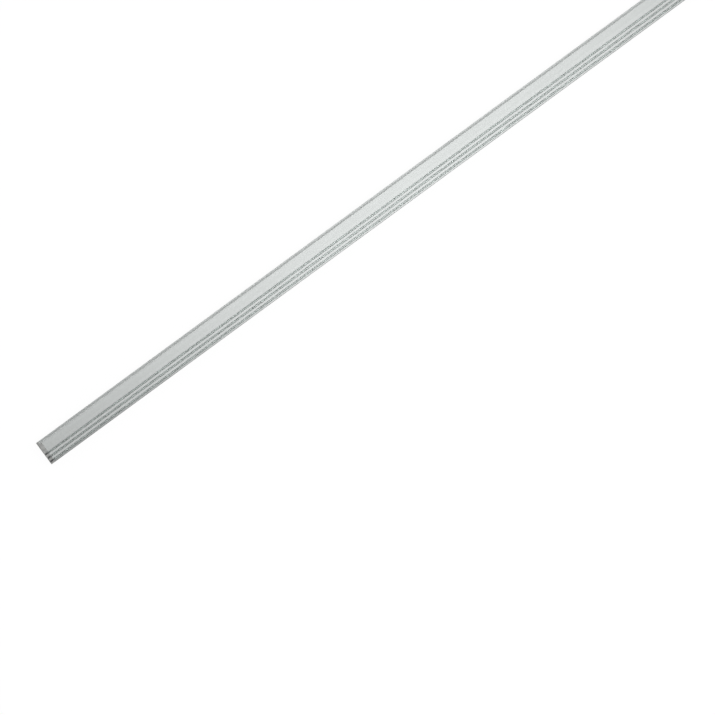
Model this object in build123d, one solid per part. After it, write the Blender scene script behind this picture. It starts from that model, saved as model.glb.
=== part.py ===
from build123d import *
import os

# A bar of extruded aluminium profile, lying on its plain back. All sizes are millimetres.
# X runs along the bar, Y across it and Z up. The origin is the centre of the back.
# Places across the section are measured from the stepped edge, which is on the +Y side.

# The stock as it is sold
LENGTH = 1000.0
WIDTH = 20.0
HEIGHT = 8.0

# The step along one edge
STEP_WIDTH = 2.0
STEP_DROP = 3.3

# The narrow slots beside the wide plain band, with ribs between them and a lip outside
SLOT_COUNT = 3
SLOT_WIDTH = 1.2
SLOT_PITCH = 3.3
SLOT_FLOOR = 1.2
LIP_THICKNESS = 1.5

# Corner radii that the die leaves on the section
BACK_RADIUS = 0.6
FACE_RADIUS = 0.3
MOUTH_RADIUS = 0.2
ROOT_RADIUS = 0.5
LIP_RADIUS = 0.5

# Worked out from the sizes above
STEP_HEIGHT = HEIGHT - STEP_DROP
LAST_SLOT = WIDTH - LIP_THICKNESS - SLOT_WIDTH / 2
FIRST_SLOT = LAST_SLOT - (SLOT_COUNT - 1) * SLOT_PITCH


def across(distance):
    """The Y of a place that lies this far in from the stepped edge."""
    return WIDTH / 2 - distance


def slot_corners(centre):
    """The corners of one slot and their radii, from its near mouth edge to its far one."""
    near = across(centre - SLOT_WIDTH / 2)
    far = across(centre + SLOT_WIDTH / 2)
    return [
        ((near, HEIGHT), MOUTH_RADIUS),
        ((near, SLOT_FLOOR), ROOT_RADIUS),
        ((far, SLOT_FLOOR), ROOT_RADIUS),
        ((far, HEIGHT), MOUTH_RADIUS),
    ]


def section_corners():
    """The corners of the section and their radii, going round from the back of the stepped edge."""
    corners = [
        ((across(0), 0), BACK_RADIUS),
        ((across(0), STEP_HEIGHT), FACE_RADIUS),
        ((across(STEP_WIDTH), STEP_HEIGHT), ROOT_RADIUS),
        ((across(STEP_WIDTH), HEIGHT), FACE_RADIUS),
    ]
    for slot in range(SLOT_COUNT):
        corners += slot_corners(FIRST_SLOT + slot * SLOT_PITCH)
    corners += [
        ((across(WIDTH), HEIGHT), LIP_RADIUS),
        ((across(WIDTH), 0), BACK_RADIUS),
    ]
    return corners


def profile_bar():
    """The whole section, run along the bar and sawn square at both ends."""
    corners = section_corners()
    outline = FilletPolyline(
        [point for point, radius in corners],
        radius=[radius for point, radius in corners],
        close=True,
    )
    end = Plane.YZ.offset(-LENGTH / 2)
    return extrude(end * make_face(outline), amount=LENGTH, dir=(1, 0, 0))


os.makedirs("parts", exist_ok=True)
bar = profile_bar()
bar.label = "profile_bar"
export_step(bar, "parts/profile_bar.step")
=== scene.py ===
import math

import bmesh
import bpy
from bpy.props import FloatProperty, FloatVectorProperty, IntProperty, PointerProperty
from mathutils import Matrix, Vector


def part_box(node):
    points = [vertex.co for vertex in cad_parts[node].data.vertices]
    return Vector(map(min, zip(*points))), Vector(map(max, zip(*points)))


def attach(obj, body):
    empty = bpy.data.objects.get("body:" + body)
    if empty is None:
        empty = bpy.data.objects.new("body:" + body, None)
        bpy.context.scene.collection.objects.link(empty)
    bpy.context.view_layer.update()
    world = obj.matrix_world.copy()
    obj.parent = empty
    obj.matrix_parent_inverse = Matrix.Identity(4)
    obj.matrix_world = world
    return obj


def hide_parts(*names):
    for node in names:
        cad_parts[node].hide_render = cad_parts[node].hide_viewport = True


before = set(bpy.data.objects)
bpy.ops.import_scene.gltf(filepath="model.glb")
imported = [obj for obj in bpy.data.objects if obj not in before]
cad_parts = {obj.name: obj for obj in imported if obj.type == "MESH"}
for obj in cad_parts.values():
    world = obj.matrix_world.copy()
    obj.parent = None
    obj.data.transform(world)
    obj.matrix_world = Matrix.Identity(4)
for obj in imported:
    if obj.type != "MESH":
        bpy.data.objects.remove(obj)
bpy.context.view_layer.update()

bl_info = {
    "name": "Extruded Profile Bar",
    "version": (1, 0, 0),
    "blender": (4, 5, 0),
    "location": "3D View > Sidebar > Profile Bar",
    "description": "Dresses a length of extruded aluminium profile and lights it on a white table",
    "category": "Object",
}

BAR_LOW, BAR_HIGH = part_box("profile_bar")
MM = 0.001

# Corner radii that the die leaves on the section
BACK_RADIUS = 0.6 * MM
FACE_RADIUS = 0.3 * MM
MOUTH_RADIUS = 0.2 * MM
ROOT_RADIUS = 0.5 * MM
LIP_RADIUS = 0.5 * MM

# How near points are one, in the tree's millimetres, and how far a face looks along the run to be an end
MERGE_DISTANCE = 0.001
END_STEEPNESS = 0.5

# The edges of the sawn ends that are taken off, in how many flats, and the edges that are shaded sharp
DEBURR_ANGLE = math.radians(60)
DEBURR_STEPS = 2
SHARP_ANGLE = math.radians(35)

# Pattern repeats per metre along, across and up
FINE_LINES = (1.2, 5200, 5200)
BROAD_LINES = (0.8, 900, 900)
CLOUDS = (22, 60, 60)
GRAIN = (9000, 9000, 9000)
SAW_ARCS = (0, 420, 420)
SAW_SMEAR = (0, 2600, 700)
SAW_BLOTCHES = (0, 320, 260)

# Depth of the relief
DRAWN_DEPTH = 0.0035 * MM
GRAIN_DEPTH = 0.0015 * MM
SAW_DEPTH = 0.025 * MM

# Painted shade and painted light in the colour of the drawn faces: their tones, their shares and how far in
# they lie
PAINTED_SHADE_TONE = 0.2
PAINTED_LEDGE_LIGHT = 1.06
LIP_CORNER_SHADE_SHARE = 0.7
NEAR_LIP_SHADE_SHARE = 0.42
MOUTH_SHADE_SHARE = 0.42
LIP_CORNER_FROM = 0.7 * MM
LIP_CORNER_FULL = 0.2 * MM
MOUTH_REACH = 0.6 * MM
FACE_FROM = 1.0 * MM
FACE_FULL = 0.5 * MM
LEDGE_DEPTH = 0.4 * MM
RIM = 0.1 * MM

# Painted shade in the ends of the slots, by how far it lies from the end of the bar
SLOT_END_SHADE_COLOUR = (0.48, 0.485, 0.485)
SLOT_END_SHADE_FULL = 2.0 * MM
SLOT_END_SHADE_NONE = 5.0 * MM

# Painted shade on the foot of the sawn ends, where they meet the table, by its height
FOOT_SHADE_TONE = 0.3
FOOT_SHADE_SHARE = 0.5
FOOT_SHADE_FULL = 0.2 * MM
FOOT_SHADE_NONE = 1.8 * MM

# The table: half its side, how far it lies below the bar, its colour and its share of plain white
TABLE_HALF = 20.0
TABLE_GAP = 0.1 * MM
TABLE_COLOUR = (0.95, 0.95, 0.95, 1.0)
TABLE_WHITE = 0.94

# The studio that metal mirrors, by how far a direction rises, from 0 at the level to 1 overhead
WALLS_FROM = 0.18
WALLS_FULL = 0.5
CEILING_FROM = 0.7
CEILING_FULL = 0.82
PLAIN_LIGHT = 1.05

# The softboxes: each one's place along the bar with its share of the brightness, then what they share
SOFTBOXES = ((0.02, 0.2), (0.24, 1.15), (0.54, 0.8))
SOFTBOX_SIZE = (0.6, 0.5)
SOFTBOX_ACROSS = -0.36
SOFTBOX_HEIGHT = 0.8
SOFTBOX_LEAN = 0.42

# The spot at the middle of the picture, on the level of the face, and how far the camera sees
CAMERA_SPOT = Vector((-0.2404, -0.0823, BAR_HIGH.z))
CAMERA_REACH = 100.0

# The sockets of a Mix node by number, because several share a name
MIX_SHARE = 0
MIX_NUMBERS = (2, 3)
MIX_COLOURS = (6, 7)
MIXED_NUMBER = 0
MIXED_COLOUR = 2


def size_property(name, description, default):
    """A length in metres, shown as a distance."""
    return FloatProperty(
        name=name, description=description, default=default, min=0.0, unit="LENGTH", subtype="DISTANCE"
    )


def colour_property(name, description, default):
    """A linear colour."""
    return FloatVectorProperty(
        name=name, description=description, default=default, min=0.0, max=1.0, size=3, subtype="COLOR"
    )


def share_property(name, description, default):
    """A number from 0 to 1."""
    return FloatProperty(
        name=name, description=description, default=default, min=0.0, max=1.0, subtype="FACTOR"
    )


class BarSizes(bpy.types.PropertyGroup):
    """The sizes of the section and of the bar."""

    length: size_property("Length", "Length of the bar", BAR_HIGH.x - BAR_LOW.x)
    width: size_property("Width", "Width across the face", BAR_HIGH.y - BAR_LOW.y)
    height: size_property("Height", "Thickness from back to face", BAR_HIGH.z - BAR_LOW.z)
    step_width: size_property("Step width", "Width of the step along one edge", 2.0 * MM)
    step_drop: size_property("Step drop", "How far the step lies below the face", 3.3 * MM)
    slot_count: IntProperty(name="Slots", description="Number of narrow slots", default=3, min=1, max=6)
    slot_width: size_property("Slot width", "Width of each slot", 1.2 * MM)
    slot_pitch: size_property("Slot pitch", "Distance from slot to slot", 3.3 * MM)
    slot_floor: size_property("Slot floor", "Metal left under each slot", 1.2 * MM)
    lip: size_property("Lip", "Thickness of the lip outside the last slot", 1.5 * MM)
    deburr: size_property("Deburr", "Edge taken off the sawn ends", 0.12 * MM)
    corner_steps: IntProperty(
        name="Corner steps", description="Flats that make up each rounded corner", default=7, min=2, max=24
    )


class BarFinish(bpy.types.PropertyGroup):
    """The finish of the drawn faces, of the slots and of the sawn ends."""

    anodised: colour_property("Anodised", "Colour of the anodised faces", (0.72, 0.745, 0.735))
    gloss: share_property("Roughness", "Roughness of the anodised faces", 0.36)
    # Painted light: set lighter than the anodised faces, so that the deep slots show grey rather than black
    slots: colour_property("Slots", "Colour of the metal inside the slots", (0.89, 0.92, 0.91))
    slot_gloss: share_property("Slot roughness", "Roughness of the metal inside the slots", 0.18)
    sawn: colour_property("Sawn", "Colour of the sawn ends", (0.74, 0.745, 0.73))


class StageSetting(bpy.types.PropertyGroup):
    """The camera and the light."""

    tilt: FloatProperty(
        name="Tilt", description="How far the camera leans from straight above, along the bar",
        default=math.radians(26.8), subtype="ANGLE",
    )
    turn: FloatProperty(
        name="Turn", description="How steeply the bar climbs across the picture",
        default=math.radians(36.34), subtype="ANGLE",
    )
    distance: size_property("Distance", "From the camera to the spot it looks at", 20.0)
    lens: FloatProperty(name="Lens", description="Focal length in millimetres", default=1318.5, min=1.0)
    walls: FloatProperty(
        name="Walls", description="Brightness of the studio's walls, as metal mirrors them",
        default=1.12, min=0.0,
    )
    ceiling: share_property("Ceiling", "Brightness of the ceiling, as a share of the walls'", 0.22)
    skirting: share_property("Skirting", "Brightness low down on the walls, as a share of theirs", 0.25)
    table: share_property("Table", "Brightness of the white table, as metal mirrors it", 0.4)
    softbox: FloatProperty(
        name="Softboxes", description="Brightness of the row of softboxes over the slotted side",
        default=1.09, min=0.0,
    )


def add_node(tree, kind, **settings):
    """A new node, with its settings and then its unlinked inputs filled in by name or number."""
    node = tree.nodes.new(kind)
    inputs = settings.pop("inputs", {})
    for name, value in settings.items():
        setattr(node, name, value)
    for name, value in inputs.items():
        node.inputs[name].default_value = value
    return node


def slot_centres(bar):
    """How far across the middle of each slot lies, from the one beside the wide band to the lip's."""
    last = bar.lip + bar.slot_width / 2 - bar.width / 2
    return [last + (bar.slot_count - 1 - slot) * bar.slot_pitch for slot in range(bar.slot_count)]


def section_corners(bar):
    """The corners round the section as (across, up, radius), in metres."""
    half = bar.width / 2
    top = bar.height
    ledge = top - bar.step_drop
    corners = [
        (half, 0.0, BACK_RADIUS),
        (half, ledge, FACE_RADIUS),
        (half - bar.step_width, ledge, ROOT_RADIUS),
        (half - bar.step_width, top, FACE_RADIUS),
    ]
    for centre in slot_centres(bar):
        near = centre + bar.slot_width / 2
        far = centre - bar.slot_width / 2
        corners += [
            (near, top, MOUTH_RADIUS),
            (near, bar.slot_floor, ROOT_RADIUS),
            (far, bar.slot_floor, ROOT_RADIUS),
            (far, top, MOUTH_RADIUS),
        ]
    corners += [(-half, top, LIP_RADIUS), (-half, 0.0, BACK_RADIUS)]
    return corners


def outline_mesh(bar):
    """The section's corners as a closed wire in millimetres, each point with its corner radius."""
    corners = section_corners(bar)
    count = len(corners)
    mesh = bpy.data.meshes.new("section_corners")
    mesh.from_pydata(
        [(across / MM, up / MM, 0.0) for across, up, radius in corners],
        [(corner, (corner + 1) % count) for corner in range(count)],
        [],
    )
    attribute = mesh.attributes.new("corner_radius", "FLOAT", "POINT")
    attribute.data.foreach_set("value", [radius / MM for across, up, radius in corners])
    return mesh


def closed_run(tree, given):
    """The wire section with its corners rounded, filled in, run to the length and closed."""
    link = tree.links.new
    wire = add_node(tree, "GeometryNodeMeshToCurve")
    link(given.outputs["Section"], wire.inputs["Mesh"])
    radius = add_node(tree, "GeometryNodeInputNamedAttribute", data_type="FLOAT",
                      inputs={"Name": "corner_radius"})
    rounded = add_node(tree, "GeometryNodeFilletCurve", mode="POLY")
    link(wire.outputs["Curve"], rounded.inputs["Curve"])
    link(given.outputs["Corner steps"], rounded.inputs["Count"])
    link(radius.outputs["Attribute"], rounded.inputs["Radius"])

    filled = add_node(tree, "GeometryNodeFillCurve", mode="NGONS")
    link(rounded.outputs["Curve"], filled.inputs["Curve"])
    run = add_node(tree, "GeometryNodeExtrudeMesh", mode="FACES", inputs={"Individual": False})
    up = add_node(tree, "ShaderNodeCombineXYZ")
    in_mm = add_node(tree, "ShaderNodeMath", operation="DIVIDE", inputs={1: MM})
    link(given.outputs["Length"], in_mm.inputs[0])
    link(in_mm.outputs[0], up.inputs["Z"])
    link(filled.outputs["Mesh"], run.inputs["Mesh"])
    link(up.outputs["Vector"], run.inputs["Offset"])

    turned = add_node(tree, "GeometryNodeFlipFaces")
    link(filled.outputs["Mesh"], turned.inputs["Mesh"])
    closed = add_node(tree, "GeometryNodeJoinGeometry")
    link(turned.outputs["Mesh"], closed.inputs["Geometry"])
    link(run.outputs["Mesh"], closed.inputs["Geometry"])
    merged = add_node(tree, "GeometryNodeMergeByDistance", inputs={"Distance": MERGE_DISTANCE})
    link(closed.outputs["Geometry"], merged.inputs["Geometry"])
    return merged.outputs["Geometry"]


def compared(tree, value, operation, limit):
    """Whether a value lies on one side of a given limit."""
    test = add_node(tree, "FunctionNodeCompare", data_type="FLOAT", operation=operation)
    tree.links.new(value, test.inputs["A"])
    tree.links.new(limit, test.inputs["B"])
    return test.outputs["Result"]


def both(tree, first, second):
    """Whether two tests hold together."""
    node = add_node(tree, "FunctionNodeBooleanMath", operation="AND")
    tree.links.new(first, node.inputs[0])
    tree.links.new(second, node.inputs[1])
    return node.outputs[0]


def in_slots(tree, given):
    """Whether a face lies between the outermost slot walls and under the mouths' rounded edges."""
    position = add_node(tree, "GeometryNodeInputPosition")
    place = add_node(tree, "ShaderNodeSeparateXYZ")
    tree.links.new(position.outputs["Position"], place.inputs["Vector"])
    past_lip = compared(tree, place.outputs["X"], "GREATER_THAN", given.outputs["Slots from"])
    before_band = compared(tree, place.outputs["X"], "LESS_THAN", given.outputs["Slots to"])
    under = compared(tree, place.outputs["Y"], "LESS_THAN", given.outputs["Slots under"])
    return both(tree, both(tree, past_lip, before_band), under)


def at_ends(tree):
    """Whether a face looks along the run, as the sawn ends do."""
    normal = add_node(tree, "GeometryNodeInputNormal")
    parts = add_node(tree, "ShaderNodeSeparateXYZ")
    steep = add_node(tree, "ShaderNodeMath", operation="ABSOLUTE")
    is_end = add_node(tree, "FunctionNodeCompare", data_type="FLOAT", operation="GREATER_THAN")
    is_end.inputs["B"].default_value = END_STEEPNESS
    tree.links.new(normal.outputs["Normal"], parts.inputs["Vector"])
    tree.links.new(parts.outputs["Z"], steep.inputs[0])
    tree.links.new(steep.outputs[0], is_end.inputs["A"])
    return is_end.outputs["Result"]


def finished(tree, shape, finish, where=None):
    """The shape with a finish on it, on the whole of it or where a test holds."""
    node = add_node(tree, "GeometryNodeSetMaterial")
    tree.links.new(shape, node.inputs["Geometry"])
    tree.links.new(finish, node.inputs["Material"])
    if where:
        tree.links.new(where, node.inputs["Selection"])
    return node.outputs["Geometry"]


def extrusion_tree():
    """A node tree that rounds the corners of a wire section, fills it and runs it to a length."""
    tree = bpy.data.node_groups.new("Extruded section", "GeometryNodeTree")
    for name, kind in (
        ("Section", "NodeSocketGeometry"),
        ("Length", "NodeSocketFloat"),
        ("Corner steps", "NodeSocketInt"),
        ("Drawn finish", "NodeSocketMaterial"),
        ("Slot finish", "NodeSocketMaterial"),
        ("Slots from", "NodeSocketFloat"),
        ("Slots to", "NodeSocketFloat"),
        ("Slots under", "NodeSocketFloat"),
        ("Sawn finish", "NodeSocketMaterial"),
    ):
        tree.interface.new_socket(name, in_out="INPUT", socket_type=kind)
    tree.interface.new_socket("Bar", in_out="OUTPUT", socket_type="NodeSocketGeometry")
    given = add_node(tree, "NodeGroupInput")
    shape = finished(tree, closed_run(tree, given), given.outputs["Drawn finish"])
    shape = finished(tree, shape, given.outputs["Slot finish"], in_slots(tree, given))
    shape = finished(tree, shape, given.outputs["Sawn finish"], at_ends(tree))
    whole = add_node(tree, "GeometryNodeRealizeInstances")
    tree.links.new(shape, whole.inputs["Geometry"])
    made = add_node(tree, "NodeGroupOutput")
    tree.links.new(whole.outputs["Geometry"], made.inputs["Bar"])
    return tree


def set_input(modifier, name, value):
    """Fills one named input of a Geometry Nodes modifier, by its socket's identifier."""
    for item in modifier.node_group.interface.items_tree:
        if item.item_type == "SOCKET" and item.in_out == "INPUT" and item.name == name:
            modifier[item.identifier] = value
            return
    raise KeyError(name)


class Finish:
    """A metal in the making: its node tree, its shader and the patterns that are laid on it."""

    def __init__(self, name):
        self.material = bpy.data.materials.new(name)
        self.material.use_nodes = True
        self.tree = self.material.node_tree
        self.shader = self.tree.nodes["Principled BSDF"]
        self.place = add_node(self.tree, "ShaderNodeTexCoord").outputs["Object"]
        self.set("Metallic", 1.0)

    def fill(self, socket, value):
        """Gives a socket another node's output, a colour or a number."""
        if isinstance(value, bpy.types.NodeSocket):
            self.tree.links.new(value, socket)
        elif isinstance(value, tuple):
            socket.default_value = (*value, 1.0)
        else:
            socket.default_value = value

    def set(self, name, value):
        """Fills one of the shader's own sockets."""
        self.fill(self.shader.inputs[name], value)

    def mapped(self, per_metre, move=(0, 0, 0)):
        """The place on the bar, counted in pattern repeats per metre along, across and up."""
        mapping = add_node(self.tree, "ShaderNodeMapping",
                           inputs={"Scale": per_metre, "Location": move})
        self.fill(mapping.inputs["Vector"], self.place)
        return mapping.outputs["Vector"]

    def parts(self):
        """The place on the bar as three numbers: X along, Y across and Z up."""
        node = add_node(self.tree, "ShaderNodeSeparateXYZ")
        self.fill(node.inputs["Vector"], self.place)
        return node.outputs

    def noise(self, per_metre, detail=2.0, roughness=0.5, move=(0, 0, 0)):
        """Soft noise of about 0.5, at its own scale along, across and up."""
        node = add_node(self.tree, "ShaderNodeTexNoise",
                        inputs={"Scale": 1.0, "Detail": detail, "Roughness": roughness})
        self.fill(node.inputs["Vector"], self.mapped(per_metre, move))
        return node.outputs["Fac"]

    def math(self, operation, first, second=0.0):
        """One sum of two values, each a number or an output."""
        node = add_node(self.tree, "ShaderNodeMath", operation=operation)
        self.fill(node.inputs[0], first)
        self.fill(node.inputs[1], second)
        return node.outputs[0]

    def inside(self, value, low, high):
        """1 where the value lies between two bounds, else 0."""
        above = self.math("GREATER_THAN", value, low)
        below = self.math("LESS_THAN", value, high)
        return self.math("MULTIPLY", above, below)

    def mixed(self, first, second, share):
        """Two patterns in one, with this share of the second."""
        rest = self.math("MULTIPLY", first, 1 - share)
        return self.math("ADD", rest, self.math("MULTIPLY", second, share))

    def ranged(self, value, low, high, new_low, new_high):
        """The value, spread from one range to another and held inside it."""
        node = add_node(self.tree, "ShaderNodeMapRange", inputs={
            "From Min": low, "From Max": high, "To Min": new_low, "To Max": new_high})
        self.fill(node.inputs["Value"], value)
        return node.outputs["Result"]

    def spread(self, pattern, reach, low, high):
        """A pattern of about 0.5, with its values this far to either side spread to a new range."""
        return self.ranged(pattern, 0.5 - reach, 0.5 + reach, low, high)

    def blend(self, share, first, second):
        """One colour turning into another."""
        node = add_node(self.tree, "ShaderNodeMix", data_type="RGBA")
        for number, colour in zip(MIX_COLOURS, (first, second)):
            self.fill(node.inputs[number], colour)
        self.fill(node.inputs[MIX_SHARE], share)
        return node.outputs[MIXED_COLOUR]

    def toned(self, pattern, colour, reach, dark, light):
        """The colour, made darker where the pattern is low and lighter where it is high."""
        return self.blend(self.spread(pattern, reach, 0.0, 1.0), tinted(colour, dark), tinted(colour, light))

    def relief(self, height, depth, under=None):
        """Bumps of this depth in metres, laid over those given."""
        node = add_node(self.tree, "ShaderNodeBump", inputs={"Strength": 1.0, "Distance": depth})
        self.fill(node.inputs["Height"], height)
        if under:
            self.fill(node.inputs["Normal"], under)
        return node.outputs["Normal"]


def tinted(colour, factor):
    """A colour made lighter or darker."""
    return tuple(min(1.0, part * factor) for part in colour)


def painted_shade_and_light(made, bar, tone, colour):
    """The tone of the drawn faces, with painted shade along the lip and beside the slots and painted light
    on the ledge.
    """
    along, across, up = made.parts()
    half = bar.width / 2
    ledge = bar.height - bar.step_drop
    dark = tinted(colour, PAINTED_SHADE_TONE)
    on_face = made.ranged(up, bar.height - FACE_FROM, bar.height - FACE_FULL, 0.0, 1.0)

    # Painted shade on the rounded outer corner of the lip
    corner = made.ranged(across, LIP_CORNER_FROM - half, LIP_CORNER_FULL - half, 0.0, LIP_CORNER_SHADE_SHARE)
    tone = made.blend(made.math("MULTIPLY", on_face, corner), tone, dark)

    # Painted shade on the top of the lip, strongest at the near end and fading out a quarter of the way
    # along
    lip_top = made.math("MULTIPLY", on_face, made.inside(across, RIM - half, bar.lip - half))
    near_end_shade = made.ranged(along, BAR_LOW.x, BAR_LOW.x / 2, NEAR_LIP_SHADE_SHARE, 0.0)
    tone = made.blend(made.math("MULTIPLY", lip_top, near_end_shade), tone, dark)

    # Painted shade on the rounded edges beside each slot's mouth
    edge = bar.slot_width / 2
    for centre in slot_centres(bar):
        off = made.math("ABSOLUTE", made.math("SUBTRACT", across, centre))
        beside = made.ranged(off, edge, edge + MOUTH_REACH, MOUTH_SHADE_SHARE, 0.0)
        tone = made.blend(made.math("MULTIPLY", on_face, beside), tone, dark)

    # Painted light on the ledge
    over_ledge = made.inside(across, half - bar.step_width + RIM, half - RIM)
    painted_light_on_ledge = made.math("MULTIPLY", over_ledge, made.inside(up, ledge - LEDGE_DEPTH, ledge + RIM))
    return made.blend(painted_light_on_ledge, tone, tinted(colour, PAINTED_LEDGE_LIGHT))


def anodised_finish(bar, colour, roughness):
    """Satin anodised aluminium with the fine lines that the die draws along the bar."""
    made = Finish("satin_anodised")
    fine_lines = made.noise(FINE_LINES, detail=3.0, roughness=0.6)
    broad_lines = made.noise(BROAD_LINES, move=(3, 7, 1))
    clouds = made.noise(CLOUDS, detail=3.0, move=(11, 2, 5))
    grain = made.noise(GRAIN)
    lines = made.mixed(fine_lines, broad_lines, share=0.6)
    shade = made.mixed(lines, clouds, share=0.3)
    tone = made.toned(shade, colour, reach=0.12, dark=0.97, light=1.025)
    # The base colour carries painted shade along the lip and beside the slots, and painted light on the
    # ledge
    made.set("Base Color", painted_shade_and_light(made, bar, tone, colour))
    dull = made.mixed(lines, grain, share=0.4)
    made.set("Roughness", made.spread(dull, reach=0.15, low=roughness - 0.04, high=roughness + 0.05))
    made.set("Anisotropic", 0.8)
    made.set("Anisotropic Rotation", 0.25)
    run = add_node(made.tree, "ShaderNodeTangent", direction_type="UV_MAP", uv_map="along_bar")
    made.set("Tangent", run.outputs["Tangent"])
    drawn = made.relief(lines, DRAWN_DEPTH)
    made.set("Normal", made.relief(grain, GRAIN_DEPTH, under=drawn))
    return made.material


def slot_finish(colour, roughness):
    """The anodised metal down in the slots, in a lighter colour that is painted light, with painted shade in
    their ends.
    """
    made = Finish("slot_anodised")
    lines = made.noise(FINE_LINES, detail=3.0, roughness=0.6, move=(5, 1, 2))
    tone = made.toned(lines, colour, reach=0.12, dark=0.985, light=1.015)
    # Painted shade in the slots near both ends of the bar
    from_end = made.math("SUBTRACT", BAR_HIGH.x, made.math("ABSOLUTE", made.parts()["X"]))
    end_shade = made.ranged(from_end, SLOT_END_SHADE_FULL, SLOT_END_SHADE_NONE, 1.0, 0.0)
    made.set("Base Color", made.blend(end_shade, tone, SLOT_END_SHADE_COLOUR))
    made.set("Roughness", roughness)
    return made.material


def sawn_finish(colour):
    """The dull grey of a saw cut, with the blade's arcs across it and painted shade on its foot."""
    made = Finish("sawn_aluminium")
    arcs = add_node(made.tree, "ShaderNodeTexWave", wave_type="RINGS", rings_direction="X", inputs={
        "Scale": 1.0, "Distortion": 1.2, "Detail": 2.0, "Detail Scale": 2.0, "Detail Roughness": 0.6})
    made.fill(arcs.inputs["Vector"], made.mapped(SAW_ARCS, move=(0, 8, 60)))
    smear = made.noise(SAW_SMEAR, detail=3.0, roughness=0.6)
    blotches = made.noise(SAW_BLOTCHES, roughness=0.6, move=(0, 3, 1))
    fine = made.mixed(arcs.outputs["Fac"], smear, share=0.45)
    marks = made.mixed(fine, blotches, share=0.6)
    tone = made.toned(marks, colour, reach=0.15, dark=0.68, light=1.3)
    # Painted shade on the foot of the sawn end, where it meets the table
    foot_shade = made.ranged(made.parts()["Z"], FOOT_SHADE_FULL, FOOT_SHADE_NONE, FOOT_SHADE_SHARE, 0.0)
    made.set("Base Color", made.blend(foot_shade, tone, tinted(colour, FOOT_SHADE_TONE)))
    made.set("Roughness", made.spread(smear, reach=0.2, low=0.46, high=0.62))
    made.set("Normal", made.relief(marks, SAW_DEPTH))
    return made.material


def plain_mesh(work, name):
    """The evaluated object as a plain mesh object with nothing live on it."""
    bpy.context.view_layer.update()
    evaluated = work.evaluated_get(bpy.context.evaluated_depsgraph_get())
    mesh = bpy.data.meshes.new_from_object(evaluated)
    mesh.name = name
    for slot in reversed(range(len(mesh.materials))):
        if mesh.materials[slot] is None:
            mesh.materials.pop(index=slot)
    bpy.data.objects.remove(work)
    piece = bpy.data.objects.new(name, mesh)
    bpy.context.scene.collection.objects.link(piece)
    return piece


def deburr_ends(work, width):
    """Takes the edge off the sawn ends, while the mesh is still in millimetres."""
    edge = work.modifiers.new("Deburred ends", "BEVEL")
    edge.limit_method = "ANGLE"
    edge.angle_limit = DEBURR_ANGLE
    edge.width = width / MM
    edge.segments = DEBURR_STEPS
    edge.use_clamp_overlap = False


def lay_along(mesh):
    """Turns the run from upwards to along the bar, and millimetres to metres."""
    along = Matrix(((0, 0, 1, BAR_LOW.x / MM), (1, 0, 0, 0), (0, 1, 0, 0), (0, 0, 0, 1)))
    mesh.transform(Matrix.Scale(MM, 4) @ along)


def face_outwards(mesh):
    """Points every face away from the metal."""
    solid = bmesh.new()
    solid.from_mesh(mesh)
    bmesh.ops.recalc_face_normals(solid, faces=solid.faces)
    solid.to_mesh(mesh)
    solid.free()


def shade_bar(piece):
    """Smooth corners between flat faces."""
    piece.data.shade_smooth()
    piece.data.set_sharp_from_angle(angle=SHARP_ANGLE)
    flats = piece.modifiers.new("Flat faces shaded flat", "WEIGHTED_NORMAL")
    flats.keep_sharp = True


def lay_map(mesh):
    """A map in metres with U along the bar, and across the ends, for the run of the drawn lines."""
    layer = mesh.uv_layers.new(name="along_bar")
    for face in mesh.polygons:
        steep = [abs(part) for part in face.normal]
        first, second = ((1, 2), (0, 2), (0, 1))[steep.index(max(steep))]
        for corner in face.loop_indices:
            place = mesh.vertices[mesh.loops[corner].vertex_index].co
            layer.data[corner].uv = (place[first], place[second])


class MakeProfileBar(bpy.types.Operator):
    """Build the finished bar in place of its plain construction model"""

    bl_idname = "object.make_profile_bar"
    bl_label = "Make Profile Bar"

    def execute(self, context):
        bar = context.scene.profile_bar
        finish = context.scene.profile_finish
        last_wall = bar.lip - bar.width / 2
        first_wall = last_wall + bar.slot_width + (bar.slot_count - 1) * bar.slot_pitch
        margin = bar.lip / 4
        work = bpy.data.objects.new("section", outline_mesh(bar))
        context.scene.collection.objects.link(work)
        modifier = work.modifiers.new("Extrusion", "NODES")
        modifier.node_group = extrusion_tree()
        for name, value in (
            ("Length", bar.length),
            ("Corner steps", bar.corner_steps),
            ("Drawn finish", anodised_finish(bar, finish.anodised, finish.gloss)),
            ("Sawn finish", sawn_finish(finish.sawn)),
            ("Slot finish", slot_finish(finish.slots, finish.slot_gloss)),
            ("Slots from", (last_wall - margin) / MM),
            ("Slots to", (first_wall + margin) / MM),
            ("Slots under", (bar.height - MOUTH_RADIUS) / MM),
        ):
            set_input(modifier, name, value)
        deburr_ends(work, bar.deburr)
        piece = plain_mesh(work, "extruded_bar")
        lay_along(piece.data)
        face_outwards(piece.data)
        shade_bar(piece)
        piece = plain_mesh(piece, "extruded_bar")
        lay_map(piece.data)
        if not piece.data.polygons:
            raise RuntimeError("the section gave no faces")
        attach(piece, "root")
        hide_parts("profile_bar")
        return {"FINISHED"}


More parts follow.
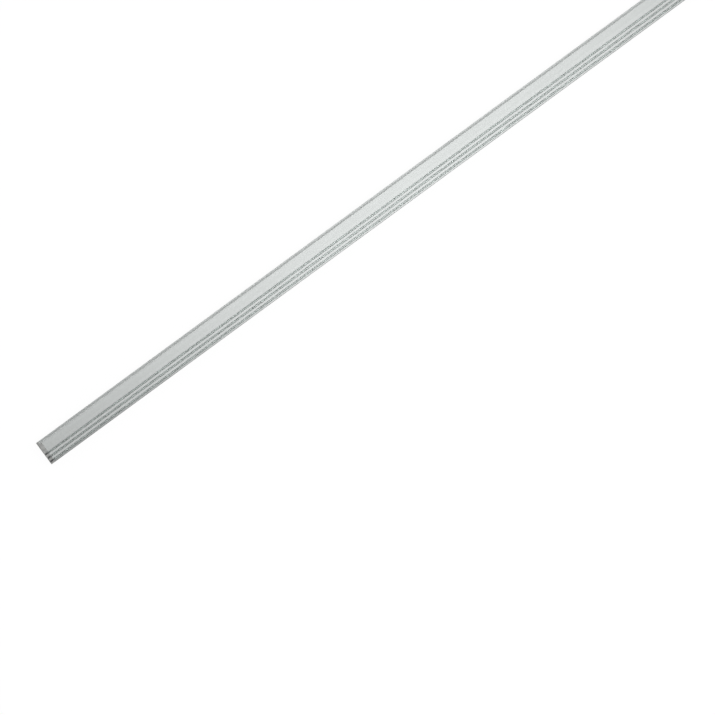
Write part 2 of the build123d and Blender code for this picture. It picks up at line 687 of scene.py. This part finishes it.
def table_finish(setting):
    """White for what looks at it, and a plain pale table that keeps the bar's shadow."""
    material = bpy.data.materials.new("white_table")
    material.use_nodes = True
    tree = material.node_tree
    tree.nodes.clear()
    link = tree.links.new
    path = add_node(tree, "ShaderNodeLightPath")
    glow = add_node(tree, "ShaderNodeEmission")
    white = add_node(tree, "ShaderNodeMapRange", inputs={"To Min": 1.0, "To Max": setting.table})
    link(path.outputs["Is Glossy Ray"], white.inputs["Value"])
    link(white.outputs["Result"], glow.inputs["Strength"])
    pale = add_node(tree, "ShaderNodeBsdfDiffuse", inputs={"Color": TABLE_COLOUR})
    seen = path.outputs["Is Camera Ray"]
    for ray in ("Is Glossy Ray", "Is Transmission Ray"):
        either = add_node(tree, "ShaderNodeMath", operation="MAXIMUM")
        link(seen, either.inputs[0])
        link(path.outputs[ray], either.inputs[1])
        seen = either.outputs[0]
    share = add_node(tree, "ShaderNodeMath", operation="MULTIPLY", inputs={1: TABLE_WHITE})
    mixed = add_node(tree, "ShaderNodeMixShader")
    out = add_node(tree, "ShaderNodeOutputMaterial")
    link(seen, share.inputs[0])
    link(share.outputs[0], mixed.inputs["Fac"])
    link(pale.outputs[0], mixed.inputs[1])
    link(glow.outputs[0], mixed.inputs[2])
    link(mixed.outputs[0], out.inputs["Surface"])
    return material


def white_world(setting):
    """White for the camera, and for metal a studio with bright walls and a dim ceiling."""
    world = bpy.data.worlds.new("studio")
    world.use_nodes = True
    tree = world.node_tree
    link = tree.links.new
    shade = tree.nodes["Background"]
    shade.inputs["Color"].default_value = (1.0, 1.0, 1.0, 1.0)
    path = add_node(tree, "ShaderNodeLightPath")
    way = add_node(tree, "ShaderNodeTexCoord")
    parts = add_node(tree, "ShaderNodeSeparateXYZ")
    rise = add_node(tree, "ShaderNodeMapRange", interpolation_type="SMOOTHSTEP", inputs={
        "From Min": WALLS_FROM, "From Max": WALLS_FULL,
        "To Min": setting.skirting * setting.walls, "To Max": setting.walls})
    over = add_node(tree, "ShaderNodeMapRange", interpolation_type="SMOOTHSTEP", inputs={
        "From Min": CEILING_FROM, "From Max": CEILING_FULL, "To Min": 0.0, "To Max": 1.0})
    first, second = MIX_NUMBERS
    ceiling = setting.ceiling * setting.walls
    studio = add_node(tree, "ShaderNodeMix", data_type="FLOAT", inputs={second: ceiling})
    mirrored = add_node(tree, "ShaderNodeMix", data_type="FLOAT", inputs={first: PLAIN_LIGHT})
    level = add_node(tree, "ShaderNodeMix", data_type="FLOAT", inputs={second: 1.0})
    link(way.outputs["Generated"], parts.inputs["Vector"])
    link(parts.outputs["Z"], rise.inputs["Value"])
    link(parts.outputs["Z"], over.inputs["Value"])
    link(over.outputs["Result"], studio.inputs[MIX_SHARE])
    link(rise.outputs["Result"], studio.inputs[first])
    link(path.outputs["Is Glossy Ray"], mirrored.inputs[MIX_SHARE])
    link(studio.outputs[MIXED_NUMBER], mirrored.inputs[second])
    link(path.outputs["Is Camera Ray"], level.inputs[MIX_SHARE])
    link(mirrored.outputs[MIXED_NUMBER], level.inputs[first])
    link(level.outputs[MIXED_NUMBER], shade.inputs["Strength"])
    return world


def make_table(setting):
    """A wide white table just below the bar."""
    half = TABLE_HALF
    below = BAR_LOW.z - TABLE_GAP
    mesh = bpy.data.meshes.new("table")
    mesh.from_pydata(
        [(-half, -half, below), (half, -half, below), (half, half, below), (-half, half, below)],
        [],
        [(0, 1, 2, 3)],
    )
    mesh.materials.append(table_finish(setting))
    table = bpy.data.objects.new("table", mesh)
    bpy.context.scene.collection.objects.link(table)


def soft_light(name, brightness, size, place, aim):
    """A rectangle of light of a plain brightness, which a mirror in front of it would show."""
    data = bpy.data.lights.new(name, "AREA")
    data.shape = "RECTANGLE"
    data.size, data.size_y = size
    data.energy = brightness * math.pi * data.size * data.size_y
    lamp = bpy.data.objects.new(name, data)
    lamp.location = place
    lamp.rotation_euler = (Vector(aim) - Vector(place)).to_track_quat("-Z", "Y").to_euler()
    lamp.visible_camera = False
    bpy.context.scene.collection.objects.link(lamp)


def make_camera(setting, spot):
    """A camera that leans from the vertical towards the near end, turned so that the bar climbs."""
    data = bpy.data.cameras.new("camera")
    data.lens = setting.lens
    data.clip_end = CAMERA_REACH
    camera = bpy.data.objects.new("camera", data)
    bpy.context.scene.collection.objects.link(camera)
    back = Vector((-math.sin(setting.tilt), 0.0, math.cos(setting.tilt)))
    along = Vector((math.cos(setting.tilt), 0.0, math.sin(setting.tilt)))
    aside = Vector((0.0, -1.0, 0.0))
    right = math.cos(setting.turn) * along + math.sin(setting.turn) * aside
    up = math.sin(setting.turn) * along - math.cos(setting.turn) * aside
    place = Matrix((right, up, back)).transposed().to_4x4()
    place.translation = spot + setting.distance * back
    camera.matrix_world = place
    bpy.context.scene.camera = camera


class MakeStage(bpy.types.Operator):
    """Build the white table, the light and the camera"""

    bl_idname = "scene.make_stage"
    bl_label = "Make Stage"

    def execute(self, context):
        setting = context.scene.stage_setting
        make_table(setting)
        context.scene.world = white_world(setting)
        for along, share in SOFTBOXES:
            place = (along, SOFTBOX_ACROSS, SOFTBOX_HEIGHT)
            aim = (along - SOFTBOX_LEAN, 0.0, 0.0)
            soft_light("softbox", setting.softbox * share, SOFTBOX_SIZE, place, aim)
        make_camera(setting, CAMERA_SPOT)
        context.scene.view_settings.view_transform = "Standard"
        return {"FINISHED"}


class ProfileBarPanel(bpy.types.Panel):
    """The bar's steps and sizes"""

    bl_idname = "VIEW3D_PT_profile_bar"
    bl_label = "Profile Bar"
    bl_space_type = "VIEW_3D"
    bl_region_type = "UI"
    bl_category = "Profile Bar"

    def draw(self, context):
        for group, operator in (
            (context.scene.profile_bar, MakeProfileBar),
            (context.scene.profile_finish, None),
            (context.scene.stage_setting, MakeStage),
        ):
            box = self.layout.box()
            for name in group.__annotations__:
                box.prop(group, name)
            if operator:
                box.operator(operator.bl_idname)


CLASSES = (BarSizes, BarFinish, StageSetting, MakeProfileBar, MakeStage, ProfileBarPanel)


def register():
    """Makes the classes and their settings known to Blender."""
    for each in CLASSES:
        bpy.utils.register_class(each)
    bpy.types.Scene.profile_bar = PointerProperty(type=BarSizes)
    bpy.types.Scene.profile_finish = PointerProperty(type=BarFinish)
    bpy.types.Scene.stage_setting = PointerProperty(type=StageSetting)


def unregister():
    """Takes the settings and the classes away again."""
    del bpy.types.Scene.stage_setting
    del bpy.types.Scene.profile_finish
    del bpy.types.Scene.profile_bar
    for each in reversed(CLASSES):
        bpy.utils.unregister_class(each)


def main():
    """Builds the bar and the stage."""
    register()
    bpy.ops.object.make_profile_bar()
    bpy.ops.scene.make_stage()


if __name__ == "__main__":
    main()
